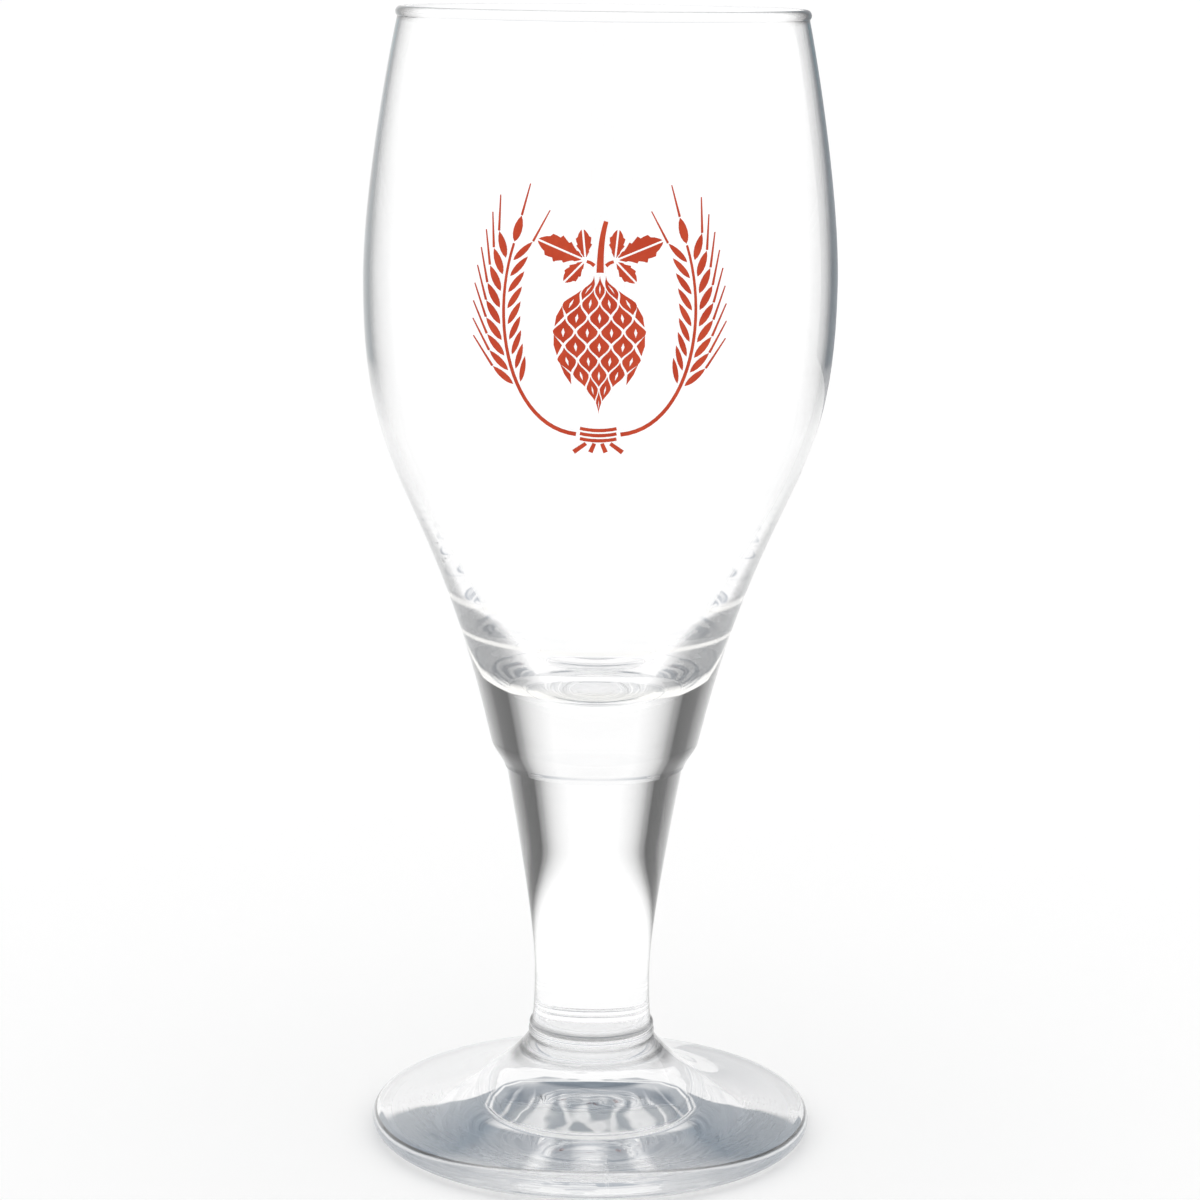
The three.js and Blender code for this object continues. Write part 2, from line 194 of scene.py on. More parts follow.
# Boss of the foot, painted shade: its dark sides, and two dark rings round it
BOSS_SHADE = [(0.3, 1.0), (0.55, 0.6), (0.75, 0.2), (1.0, 0.2)]
BOSS_BAND = (11 * MM, 12.5 * MM)
BOSS_RINGS = [
    (12.0, 0.0), (12.3, 1.0), (12.6, 1.0), (12.9, 0.0), (13.8, 0.0), (14.1, 1.0), (14.4, 1.0), (14.7, 0.0)]
RING_SHADE = [(0.06, 0.7), (0.25, 0.6), (0.45, 0.25), (1.0, 0.2)]

# Studio: the floor and how much it glows to sight and through glass, the card, the sky's levels by angle in
# degrees above the floor, and how often light may bounce
FLOOR_SIZE = 60
FLOOR_DROP = 0.05 * MM
FLOOR_GLOW = 0.04
FLOOR_GLOW_IN_GLASS = 0.1
CARD_PLACE = (0.27, 0.53, 0.3)
CARD_SIZE = (0.5, 0.6)
CARD_TURN = -27
STUDIO_SKY = [(25, 1.0), (38, 0.0), (58, 0.0), (72, 1.0)]
BOUNCES = 256
CLEAR_BOUNCES = 64

# Camera: its place in mm, its tilt down and its roll in degrees, and its lens and sensor in mm
CAMERA_PLACE = (0.5, -451.2, 170.3)
CAMERA_TILT = 11.475
CAMERA_ROLL = 0.7
CAMERA_LENS = 96.93
CAMERA_SENSOR = 36.0


def length(name, description, default):
    """A length that a user can change."""
    return FloatProperty(name=name, description=description, default=default, unit="LENGTH")


def colour(name, description, default):
    """A colour that a user can change."""
    return FloatVectorProperty(
        name=name, description=description, default=default, size=3, subtype="COLOR", min=0.0, max=1.0)


class GlassSizes(bpy.types.PropertyGroup):
    """Sizes of the three pieces of glass."""

    foot_diameter: length("Foot diameter", "Across the foot's rounded edge", FOOT_HIGH.x - FOOT_LOW.x)
    foot_height: length(
        "Foot height", "From the table to the weld under the stem", FOOT_HIGH.z - FOOT_LOW.z)
    stem_length: length("Stem length", "Between the two welds", STEM_HIGH.z - STEM_LOW.z)
    stem_top_diameter: length(
        "Stem top diameter", "Where the stem meets the bowl", STEM_HIGH.x - STEM_LOW.x)
    bowl_height: length(
        "Bowl height", "From the upper weld to the top of the rim", BOWL_HIGH.z - BOWL_LOW.z)
    belly_diameter: length(
        "Belly diameter", "Across the widest part of the bowl", BOWL_HIGH.x - BOWL_LOW.x)
    belly_height: length("Belly height", "From the upper weld to the widest part", 69.2 * MM)
    rim_diameter: length("Rim diameter", "Outside of the wall under the rim's bead", 56.8 * MM)
    wall: length("Wall", "Thickness of the bowl at its belly", 1.3 * MM)
    base_thickness: length("Base thickness", "Solid glass under the drink", 10.5 * MM)


class EmblemSizes(bpy.types.PropertyGroup):
    """Sizes of the enamel emblem, measured flat."""

    centre_height: length("Centre height", "From the table to the middle of the emblem", 122.6 * MM)
    film: length("Film thickness", "Thickness of the fired enamel", 0.08 * MM)
    lift: length("Film lift", "From the glass to the underside of the film", 0.045 * MM)
    cone_length: length("Hop cone length", "From the stalk to the cone's tip", 17.0 * MM)
    cone_width: length("Hop cone width", "Across the cone's widest row of scales", 12.6 * MM)
    leaf_length: length("Leaf length", "Middle lobe of a hop leaf", 6.4 * MM)
    grain_length: length("Grain length", "One grain of barley, without its awn", 3.5 * MM)
    line: length("Line width", "Width of the straws", 0.42 * MM)
    cone_rows: IntProperty(
        name="Cone rows", description="Rows of scales on the hop cone",
        default=9, min=4, max=14)
    grains: IntProperty(
        name="Grains", description="Pairs of grains on each ear of barley",
        default=9, min=3, max=14)


class StudioLook(bpy.types.PropertyGroup):
    """Colours of the finishes and the studio."""

    enamel_red: colour("Enamel red", "Colour of the fired enamel", (0.56, 0.046, 0.009))
    glass_shade: colour(
        "Glass shade", "Light that the glass lets through to the table at each face", (0.97, 0.975, 0.98))
    # Deep colour of the grey shade that is painted on the foot
    foot_painted_shade: colour(
        "Foot grey", "Depth of the grey where the foot's slope faces the viewer", (0.0, 0.03, 0.065))
    sky_grey: colour(
        "Studio grey", "Dim upper part of the studio that the glass mirrors", (0.52, 0.55, 0.59))
    card_grey: colour(
        "Card grey", "Card behind the glass, which its right edge mirrors as a dim line", (0.47, 0.48, 0.5))
    floor_white: colour("Floor white", "Colour of the pale floor", (0.97, 0.97, 0.97))


def start_clean():
    """Object mode with nothing selected."""
    if bpy.context.object is not None and bpy.context.object.mode != "OBJECT":
        bpy.ops.object.mode_set(mode="OBJECT")
    bpy.ops.object.select_all(action="DESELECT")


def make_active(piece):
    start_clean()
    piece.select_set(True)
    bpy.context.view_layer.objects.active = piece


def flat(x, y):
    """A flat point or move in mm: out and up on a profile, right and up on the emblem."""
    return Vector((x, y)) * MM


def straight(start, end):
    """A straight stretch of a profile, written as a curve."""
    start, end = Vector(start), Vector(end)
    return [start, start.lerp(end, 1 / 3), start.lerp(end, 2 / 3), end]


def sweep(start, start_handle, end_handle, end):
    """A curved stretch of a profile, from its ends and its two handles."""
    return [Vector(start), Vector(start_handle), Vector(end_handle), Vector(end)]


def arc(centre, radius, start_angle, end_angle, parts):
    """A round stretch of a profile, as a few curves."""
    centre = Vector(centre)
    step = (end_angle - start_angle) / parts
    reach = 4 / 3 * math.tan(step / 4) * radius
    stretches = []
    for part in range(parts):
        angles = start_angle + part * step, start_angle + (part + 1) * step
        ends = [centre + radius * Vector((math.cos(a), math.sin(a))) for a in angles]
        along = [reach * Vector((-math.sin(a), math.cos(a))) for a in angles]
        stretches.append([ends[0], ends[0] + along[0], ends[1] - along[1], ends[1]])
    return stretches


def point_on(stretch, share):
    """The point at a share of the way along one stretch of a profile."""
    a, b, c, d = stretch
    rest = 1 - share
    return rest ** 3 * a + 3 * rest ** 2 * share * b + 3 * rest * share ** 2 * c + share ** 3 * d


def radius_at(stretch, height):
    """The radius of a rising stretch at a height, by halving."""
    low, high = 0.0, 1.0
    for _ in range(40):
        middle = (low + high) / 2
        if point_on(stretch, middle).y < height:
            low = middle
        else:
            high = middle
    return point_on(stretch, low).x


def add_spline(curve, stretches, placed, closed):
    """Writes a run of stretches into a curve, each point put in its place."""
    spline = curve.splines.new("BEZIER")
    knots = spline.bezier_points
    knots.add(len(stretches) - 1 if closed else len(stretches))
    spline.use_cyclic_u = closed
    for knot in knots:
        knot.handle_left_type = knot.handle_right_type = "FREE"
    for i, (a, b, c, d) in enumerate(stretches):
        following = knots[(i + 1) % len(knots)]
        knots[i].co = placed(a)
        knots[i].handle_right = placed(b)
        following.handle_left = placed(c)
        following.co = placed(d)
    if not closed:
        knots[0].handle_left = knots[0].co
        knots[-1].handle_right = knots[-1].co


def mesh_from(curve):
    """The active object: a mesh made from a curve."""
    start_clean()
    piece = bpy.data.objects.new(curve.name, curve)
    bpy.context.collection.objects.link(piece)
    make_active(piece)
    bpy.ops.object.convert(target="MESH")
    return bpy.context.object


def turn(name, stretches, base, fineness):
    """A closed piece turned about +Z from the stretches of its half profile."""
    curve = bpy.data.curves.new(name, "CURVE")
    curve.dimensions = "3D"
    curve.resolution_u = fineness
    add_spline(curve, stretches, lambda spot: (spot.x, 0.0, spot.y + base), False)
    piece = mesh_from(curve)
    bpy.ops.object.mode_set(mode="EDIT")
    bpy.ops.mesh.select_all(action="SELECT")
    bpy.ops.mesh.spin(steps=AROUND, angle=2 * math.pi, center=(0, 0, 0), axis=(0, 0, 1))
    bpy.ops.mesh.select_all(action="SELECT")
    bpy.ops.mesh.remove_doubles(threshold=MERGE)
    bpy.ops.mesh.normals_make_consistent(inside=False)
    bpy.ops.object.mode_set(mode="OBJECT")
    bpy.ops.object.shade_smooth_by_angle(angle=math.radians(32))
    return piece


def finish_glass(piece, glass, weld_heights, weld_radius):
    """Gives a piece its glass, with the clear weld finish on its flat welded faces."""
    piece.data.materials.append(glass.material)
    piece.data.materials.append(weld_finish())
    for face in piece.data.polygons:
        level = any(abs(face.center.z - height) < WELD_NEAR for height in weld_heights)
        if level and Vector(face.center[:2]).length < weld_radius:
            face.material_index = 1
    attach(piece, BODY)


def weld_bead(low, high):
    """A small round bead of glass on a profile beside the lower weld."""
    return sweep(low, low + flat(0.34, 0.3), high + flat(0.34, -0.3), high)


def bowl_outside(sizes):
    """Outside of the bowl from the collar's edge to the belly, and on to the neck under the bead."""
    collar = Vector(COLLAR)
    belly = Vector((sizes.belly_diameter / 2, sizes.belly_height))
    neck = Vector((sizes.rim_diameter / 2, sizes.bowl_height - 2 * BEAD_RADIUS))
    rise, reach = belly.y - collar.y, neck.y - belly.y
    lower = sweep(
        collar, collar + 0.6 * rise * Vector((COLLAR_LEAN, 1)),
        belly - Vector((0, 0.455 * rise)), belly)
    upper = sweep(belly, belly + reach * BELLY_HANDLE, neck + reach * NECK_HANDLE, neck)
    return lower, upper


def tree_of(*values):
    """The node tree of the first socket among some values."""
    return next(value for value in values if isinstance(value, bpy.types.NodeSocket)).id_data


def feed(socket, value):
    """Links a socket to another one, or sets it to a plain value."""
    if isinstance(value, bpy.types.NodeSocket):
        value.id_data.links.new(value, socket)
    else:
        socket.default_value = value


def noise(place, scale, detail):
    """Cloudy values over a surface, about so many clouds to the metre."""
    node = place.id_data.nodes.new("ShaderNodeTexNoise")
    feed(node.inputs["Vector"], place)
    feed(node.inputs["Scale"], scale)
    feed(node.inputs["Detail"], detail)
    return node.outputs["Fac"]


def ramp(source, stops, deep=BLACK):
    """A colour that changes with a value: at each stop, level 1 is white and level 0 is the deep colour."""
    node = source.id_data.nodes.new("ShaderNodeValToRGB")
    elements = node.color_ramp.elements
    while len(elements) < len(stops):
        elements.new(0.5)
    for element, (spot, level) in zip(elements, stops):
        element.position = spot
        element.color = (*(level + (1 - level) * part for part in deep), 1.0)
    feed(node.inputs["Fac"], source)
    return node.outputs["Color"]


def between(source, low, high, start=0.0, end=1.0, smooth=True):
    """A change from start to end as a value goes from low to high: smooth and held, or straight and on."""
    node = source.id_data.nodes.new("ShaderNodeMapRange")
    node.interpolation_type = "SMOOTHSTEP" if smooth else "LINEAR"
    node.clamp = smooth
    node.inputs["From Min"].default_value = low
    node.inputs["From Max"].default_value = high
    node.inputs["To Min"].default_value = start
    node.inputs["To Max"].default_value = end
    feed(node.inputs["Value"], source)
    return node.outputs["Result"]


def follow(source, spots, unit=1.0, deep=BLACK):
    """A colour that changes with a value as a ramp does, its spots being in the value's own unit."""
    low, high = spots[0][0], spots[-1][0]
    share = between(source, low * unit, high * unit, smooth=False)
    return ramp(share, [((spot - low) / (high - low), level) for spot, level in spots], deep)


def in_metres(stops):
    """Stops whose levels are lengths in mm, with the levels in metres."""
    return [(spot, level * MM) for spot, level in stops]


def blend(share, first, second, manner="MIX"):
    """A mix of two colours."""
    node = tree_of(share, first, second).nodes.new("ShaderNodeMix")
    node.data_type = "RGBA"
    node.blend_type = manner
    feed(node.inputs[0], share)
    feed(node.inputs[6], first)
    feed(node.inputs[7], second)
    return node.outputs[2]


def combine(operation, first, second):
    """Two values combined by one operation and held between 0 and 1."""
    node = tree_of(first, second).nodes.new("ShaderNodeMath")
    node.operation = operation
    node.use_clamp = True
    feed(node.inputs[0], first)
    feed(node.inputs[1], second)
    return node.outputs[0]


def waver_group():
    """Height of the slow ripples that hot working leaves in glass."""
    group = bpy.data.node_groups.get("glass_waver")
    if group is None:
        group = bpy.data.node_groups.new("glass_waver", "ShaderNodeTree")
        group.interface.new_socket("Place", in_out="INPUT", socket_type="NodeSocketVector")
        group.interface.new_socket("Ripples", in_out="INPUT", socket_type="NodeSocketFloat")
        group.interface.new_socket("Height", in_out="OUTPUT", socket_type="NodeSocketFloat")
        inlet = group.nodes.new("NodeGroupInput")
        outlet = group.nodes.new("NodeGroupOutput")
        feed(outlet.inputs["Height"], noise(inlet.outputs["Place"], inlet.outputs["Ripples"], 1.0))
    return group


def glass_finish(name, look, ripples):
    """Clear glass that passes light to what stands behind it, with ripples so many to the metre. Gives the
    values that the shade and light painted into its colour work with: the share by which its surface turns
    from sight (facing), the same for an upright surface in its place (upright), its height above the table,
    its radius from the axis, and how far right (aside) and back it lies."""
    glass = bpy.data.materials.new(name)
    glass.use_nodes = True
    tree = glass.node_tree
    tree.nodes.clear()
    add, link = tree.nodes.new, tree.links.new
    out = add("ShaderNodeOutputMaterial")
    mix = add("ShaderNodeMixShader")
    body = add("ShaderNodeBsdfPrincipled")
    clear = add("ShaderNodeBsdfTransparent")
    path = add("ShaderNodeLightPath")
    facing = add("ShaderNodeLayerWeight")
    upright = add("ShaderNodeLayerWeight")
    outward = add("ShaderNodeVectorMath")
    level = add("ShaderNodeVectorMath")
    reach = add("ShaderNodeVectorMath")
    place = add("ShaderNodeTexCoord")
    axes = add("ShaderNodeSeparateXYZ")
    waver = add("ShaderNodeGroup")
    bump = add("ShaderNodeBump")
    body.inputs["Base Color"].default_value = WHITE
    body.inputs["Roughness"].default_value = 0.0
    body.inputs["IOR"].default_value = 1.52
    body.inputs["Transmission Weight"].default_value = 1.0
    clear.inputs["Color"].default_value = (*look.glass_shade, 1.0)
    facing.inputs["Blend"].default_value = 0.5
    upright.inputs["Blend"].default_value = 0.5
    level.operation = "MULTIPLY"
    level.inputs[1].default_value = (1.0, 1.0, 0.0)
    outward.operation = "NORMALIZE"
    reach.operation = "LENGTH"
    waver.node_tree = waver_group()
    waver.inputs["Ripples"].default_value = ripples
    bump.inputs["Strength"].default_value = 0.6
    bump.inputs["Distance"].default_value = 0.03 * MM
    link(place.outputs["Object"], level.inputs[0])
    link(place.outputs["Object"], axes.inputs["Vector"])
    link(place.outputs["Object"], waver.inputs["Place"])
    link(waver.outputs["Height"], bump.inputs["Height"])
    link(bump.outputs["Normal"], body.inputs["Normal"])
    link(level.outputs["Vector"], outward.inputs[0])
    link(level.outputs["Vector"], reach.inputs[0])
    link(outward.outputs["Vector"], upright.inputs["Normal"])
    link(path.outputs["Is Shadow Ray"], mix.inputs[0])
    link(body.outputs["BSDF"], mix.inputs[1])
    link(clear.outputs["BSDF"], mix.inputs[2])
    link(mix.outputs["Shader"], out.inputs["Surface"])
    return SimpleNamespace(
        material=glass, tree=tree, body=body, bump=bump, facing=facing.outputs["Facing"],
        upright=upright.outputs["Facing"], height=axes.outputs["Z"], radius=reach.outputs["Value"],
        outward=outward.outputs["Vector"], place=place.outputs["Object"], aside=axes.outputs["X"],
        back=axes.outputs["Y"])


def shade_outside(glass, painted_light_and_shade, upward=0.0):
    """Paints shade and light into the glass's colour where light enters its outside, and leaves it clear
    inside and where light leaves. The outside is what faces away from the axis, and upward too by the share
    given."""
    tree = glass.tree
    side = tree.nodes.new("ShaderNodeNewGeometry")
    leaning = tree.nodes.new("ShaderNodeVectorMath")
    turned = tree.nodes.new("ShaderNodeVectorMath")
    turned.operation = "DOT_PRODUCT"
    leaning.inputs[1].default_value = (0.0, 0.0, upward)
    feed(leaning.inputs[0], glass.outward)
    feed(turned.inputs[0], side.outputs["Normal"])
    feed(turned.inputs[1], leaning.outputs["Vector"])
    inside = combine("LESS_THAN", turned.outputs["Value"], 0.0)
    shade = blend(combine("MAXIMUM", inside, side.outputs["Backfacing"]), painted_light_and_shade, WHITE)
    feed(glass.body.inputs["Base Color"], shade)


def weld_finish():
    """Nothing shows where hot glass has run together."""
    weld = bpy.data.materials.get("fused_weld")
    if weld is None:
        weld = bpy.data.materials.new("fused_weld")
        weld.use_nodes = True
        tree = weld.node_tree
        tree.nodes.clear()
        out = tree.nodes.new("ShaderNodeOutputMaterial")
        clear = tree.nodes.new("ShaderNodeBsdfTransparent")
        feed(out.inputs["Surface"], clear.outputs["BSDF"])
    return weld


def enamel_finish(look):
    """Fired enamel: satin red, thinner and lighter here and there, with the grain of its screen."""
    enamel = bpy.data.materials.get("fired_enamel")
    if enamel is None:
        enamel = bpy.data.materials.new("fired_enamel")
        enamel.use_nodes = True
        tree = enamel.node_tree
        body = tree.nodes["Principled BSDF"]
        place = tree.nodes.new("ShaderNodeTexCoord").outputs["Object"]
        cloud = noise(place, ENAMEL_CLOUDS, 3.0)
        grain = noise(place, ENAMEL_GRAINS, 2.0)
        bump = tree.nodes.new("ShaderNodeBump")
        body.inputs["Specular IOR Level"].default_value = 0.3
        bump.inputs["Strength"].default_value = 0.35
        bump.inputs["Distance"].default_value = 0.01 * MM
        red = Vector(look.enamel_red)
        thin = (*(red * 0.95 + Vector((0.05, 0.018, 0.008))), 1.0)
        thick = (*(red * 0.93), 1.0)
        feed(body.inputs["Base Color"], blend(between(cloud, 0.35, 0.7), thick, thin))
        feed(body.inputs["Roughness"], between(grain, *NOISE_SPREAD, *ENAMEL_ROUGHNESS))
        feed(bump.inputs["Height"], grain)
        feed(body.inputs["Normal"], bump.outputs["Normal"])
    return enamel


def work_foot(glass, punt_radius):
    """Gives the foot its relief under the ripples: dents in the punt, broken ridges and a seam. Returns the
    noise that makes them uneven."""
    uneven = noise(glass.place, FOOT_CLOUDS, 1.0)
    low = combine("LESS_THAN", glass.height, PUNT_CEILING)
    dents = combine("MULTIPLY", low, between(glass.radius, punt_radius, 0.9 * punt_radius))
    dents = combine("MULTIPLY", dents, uneven)
    turns = between(glass.radius, 0.0, RIDGE_STEP, 0.0, 2 * math.pi, smooth=False)
    ridges = combine("MULTIPLY", combine("SINE", turns, 0.0), follow(glass.radius, RIDGES, MM))
    ridges = combine("MULTIPLY", ridges, between(uneven, *RIDGE_BREAKS, 0.0, RIDGE_HEIGHT))
    in_front = combine("LESS_THAN", glass.back, SEAM_BACK)
    seam = combine("MULTIPLY", follow(glass.aside, SEAM, MM), in_front)
    worked = glass.tree.nodes.new("ShaderNodeBump")
    worked.inputs["Distance"].default_value = 0.15 * MM
    feed(worked.inputs["Height"], combine("ADD", dents, combine("ADD", ridges, seam)))
    feed(glass.bump.inputs["Normal"], worked.outputs["Normal"])
    return uneven


def punt_bars(glass, deep, uneven):
    """Painted shade: uneven bars of light and grey across the punt, and plain painted grey where the slope
    shows its back.
    """
    shift = between(uneven, *NOISE_SPREAD, -BARS_WAVER, BARS_WAVER)
    bars = ramp(combine("ADD", glass.upright, shift), PUNT_BARS, deep)
    back = follow(glass.radius, PUNT_BACK, MM, deep)
    return blend(between(glass.radius, *BARS_BAND), back, bars)


def slope_painted_light_and_shade(glass, deep, uneven):
    """Painted grey shade on the foot's slope on its near side, with the punt that shows in it and its
    painted lines of light.
    """
    front = combine("SUBTRACT", follow(glass.radius, FOOT_FRONT, MM), glass.facing)
    steep = combine("SUBTRACT", front, follow(glass.radius, FOOT_STEEP, MM))
    turned = between(glass.upright, 0.0, 1.0, PUNT_MARGIN, 1 + PUNT_MARGIN, smooth=False)
    beside = combine("SUBTRACT", turned, follow(glass.radius, PUNT_EDGE, MM))
    grey = blend(
        between(glass.radius, *PUNT_BAND),
        ramp(glass.upright, PUNT_SHADE, deep), ramp(glass.upright, FOOT_SHADE, deep))
    grey = blend(between(beside, *PUNT_EDGE_BAND), punt_bars(glass, deep, uneven), grey)
    middle = follow(glass.upright, FOOT_MIDDLE)
    lip = combine("MULTIPLY", between(glass.radius, *LIP_BAND, 0.0, LIP_LIGHT), middle)
    bright = combine("MULTIPLY", follow(glass.radius, FOOT_ARC, MM), middle)
    bright = combine("MAXIMUM", bright, follow(beside, PUNT_LINES))
    grey = blend(combine("MAXIMUM", lip, bright), grey, WHITE)
    grey = blend(between(front, *FRONT_BAND), WHITE, grey)
    return blend(between(steep, *STEEP_BAND), grey, WHITE)


def edge_painted_light_and_shade(glass, deep, slope, edge_height):
    """The slope's painted light and shade, and beyond it the foot's edge with a painted dark line, a
    painted light line and painted grey shade, clear on the far side. Down the rounded edge, the way out
    goes on by the fall from its top."""
    outwards = combine("ADD", glass.radius, combine("SUBTRACT", edge_height, glass.height))
    beyond = combine("SUBTRACT", outwards, follow(glass.upright, in_metres(EDGE_LINE)))
    grey = follow(glass.upright, EDGE_SHADE, 1.0, deep)
    grey = blend(follow(beyond, EDGE_LIGHT, MM), grey, WHITE)
    grey = blend(follow(beyond, EDGE_DARK, MM), grey, follow(glass.upright, LINE_SHADE))
    grey = blend(1.0, grey, follow(glass.height, EDGE_LOW, MM), "MULTIPLY")
    crest = between(glass.height, *CREST_BAND)
    far = combine("MULTIPLY", crest, between(glass.facing, *FAR_BAND))
    grey = blend(far, grey, WHITE)
    return blend(between(beyond, *EDGE_LINE_BAND), slope, grey)


def boss_painted_shade(glass):
    """Painted shade: dark sides of the foot's boss, and dark rings round it."""
    sides = blend(between(glass.radius, *BOSS_BAND), ramp(glass.upright, BOSS_SHADE), WHITE)
    rings = ramp(glass.upright, RING_SHADE)
    rings = blend(follow(glass.height, BOSS_RINGS, MM), WHITE, rings)
    return blend(1.0, sides, rings, "MULTIPLY")


def wall_painted_shade(glass):
    """Painted shade: dim edges of the bowl's thin wall, and a darker bead on its rim."""
    wall = ramp(glass.facing, WALL_SHADE, COOL_SHADE)
    wall = blend(follow(glass.height, WALL_FADE, MM), WHITE, wall)
    rim = ramp(glass.facing, RIM_SHADE, COOL_SHADE)
    wall = blend(between(glass.height, *RIM_BAND), wall, rim)
    bead = ramp(glass.upright, BEAD_SHADE, BROWN_SHADE)
    bead = blend(between(glass.height, *BEAD_BAND), WHITE, bead)
    return blend(1.0, wall, bead, "MULTIPLY")


def base_painted_light_and_shade(glass):
    """Painted shade on the dark sides of the bowl's solid base, a painted crescent of light along its top,
    and painted grey shade and rings of light on the shoulders above.
    """
    turned = combine("SUBTRACT", glass.upright, follow(glass.height, SHOULDER_EDGE, MM))
    above = combine("SUBTRACT", glass.height, ramp(glass.upright, in_metres(BASE_TOP)))
    shoulder = follow(turned, SHOULDER_SHADE, 1.0, COOL_SHADE)
    shoulder = blend(follow(glass.height, SHOULDER_RINGS, MM), shoulder, CREAM_HIGHLIGHT)
    shoulder = blend(follow(glass.height, SHOULDER_FADE, MM), shoulder, WHITE)
    shoulder = blend(follow(above, CRESCENT, MM), shoulder, CREAM_HIGHLIGHT)
    solid = ramp(glass.upright, SOLID_SHADE)
    return blend(between(above, *BASE_BAND), solid, shoulder)


class TASTING_OT_foot(bpy.types.Operator):
    """Turn the pressed foot with its boss, ground ring and punt"""

    bl_idname = "tasting.foot"
    bl_label = "Foot"

    def execute(self, context):
        sizes, look = context.scene.glass_sizes, context.scene.studio_look
        edge = 1.5 * MM
        edge_gap = 0.4 * MM
        edge_centre = Vector((sizes.foot_diameter / 2 - edge, edge_gap + edge))
        edge_top = edge_centre + Vector((0, edge))
        boss = Vector((BOSS_RADIUS, sizes.foot_height))
        crease = boss + flat(0.05, -1.25)
        apex, punt = flat(0, 4.5), flat(13.5, 0.3)
        groove_end = punt + flat(1.4, 0)
        ring, ring_outer = flat(25, 0), flat(29, 0)
        dome = apex.y - punt.y
        stretches = [
            sweep(apex, apex + Vector((0.55 * punt.x, 0)), punt + dome * Vector((-0.2, 0.5)), punt),
            sweep(punt, punt + flat(0.05, 1.4), groove_end + flat(-0.05, 1.4), groove_end),
            straight(groove_end, ring),
            straight(ring, ring_outer),
            straight(ring_outer, edge_centre - Vector((0, edge))),
            *arc(edge_centre, edge, -math.pi / 2, math.pi / 2, 2),
            sweep(edge_top, edge_top + flat(-16, 1), boss + flat(0.595, -1.7), crease),
            weld_bead(crease, boss),
            straight(boss, (0, boss.y)),
        ]
        foot = turn("foot_glass", stretches, 0.0, 24)
        glass = glass_finish("pressed_foot_glass", look, SOLID_RIPPLES)
        uneven = work_foot(glass, punt.x)
        # Grey shade, lines of light and dark edge lines painted into the foot glass's colour
        slope = slope_painted_light_and_shade(glass, look.foot_painted_shade, uneven)
        disc = edge_painted_light_and_shade(glass, look.foot_painted_shade, slope, edge_top.y)
        shade_outside(glass, blend(1.0, disc, boss_painted_shade(glass), "MULTIPLY"), FOOT_UPWARD)
        finish_glass(foot, glass, [sizes.foot_height], boss.x)
        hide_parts("foot")
        return {"FINISHED"}


class TASTING_OT_stem(bpy.types.Operator):
    """Turn the solid stem, drawn in to a waist above the foot"""

    bl_idname = "tasting.stem"
    bl_label = "Stem"

    def execute(self, context):
        sizes, look = context.scene.glass_sizes, context.scene.studio_look
        base = Vector((BOSS_RADIUS, 0))
        crease = base + flat(-0.28, 1.15)
        waist = flat(8.35, 8)
        top = Vector((sizes.stem_top_diameter / 2, sizes.stem_length))
        reach = top.y - waist.y
        stretches = [
            straight((0, 0), base),
            weld_bead(base, crease),
            sweep(crease, (crease.x - 0.2 * MM, 0.35 * waist.y), (waist.x, 0.6 * waist.y), waist),
            sweep(waist, waist + Vector((0, 0.2 * reach)), top - 0.48 * reach * Vector((0.175, 1)), top),
            straight(top, (0, top.y)),
        ]
        stem = turn("stem_glass", stretches, sizes.foot_height, 36)
        glass = glass_finish("solid_stem_glass", look, SOLID_RIPPLES)
        # Painted shade: dark sides that end above the waist, and a dark ring at the weld
        shift = between(glass.height, *WAIST_BAND, *WAIST_SHIFT)
        sides = ramp(combine("SUBTRACT", glass.upright, shift), SOLID_SHADE)
        shade_outside(glass, blend(1.0, sides, follow(glass.height, WELD_RING, MM), "MULTIPLY"))
        heights = [sizes.foot_height, sizes.foot_height + sizes.stem_length]
        finish_glass(stem, glass, heights, sizes.foot_diameter)
        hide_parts("stem")
        return {"FINISHED"}


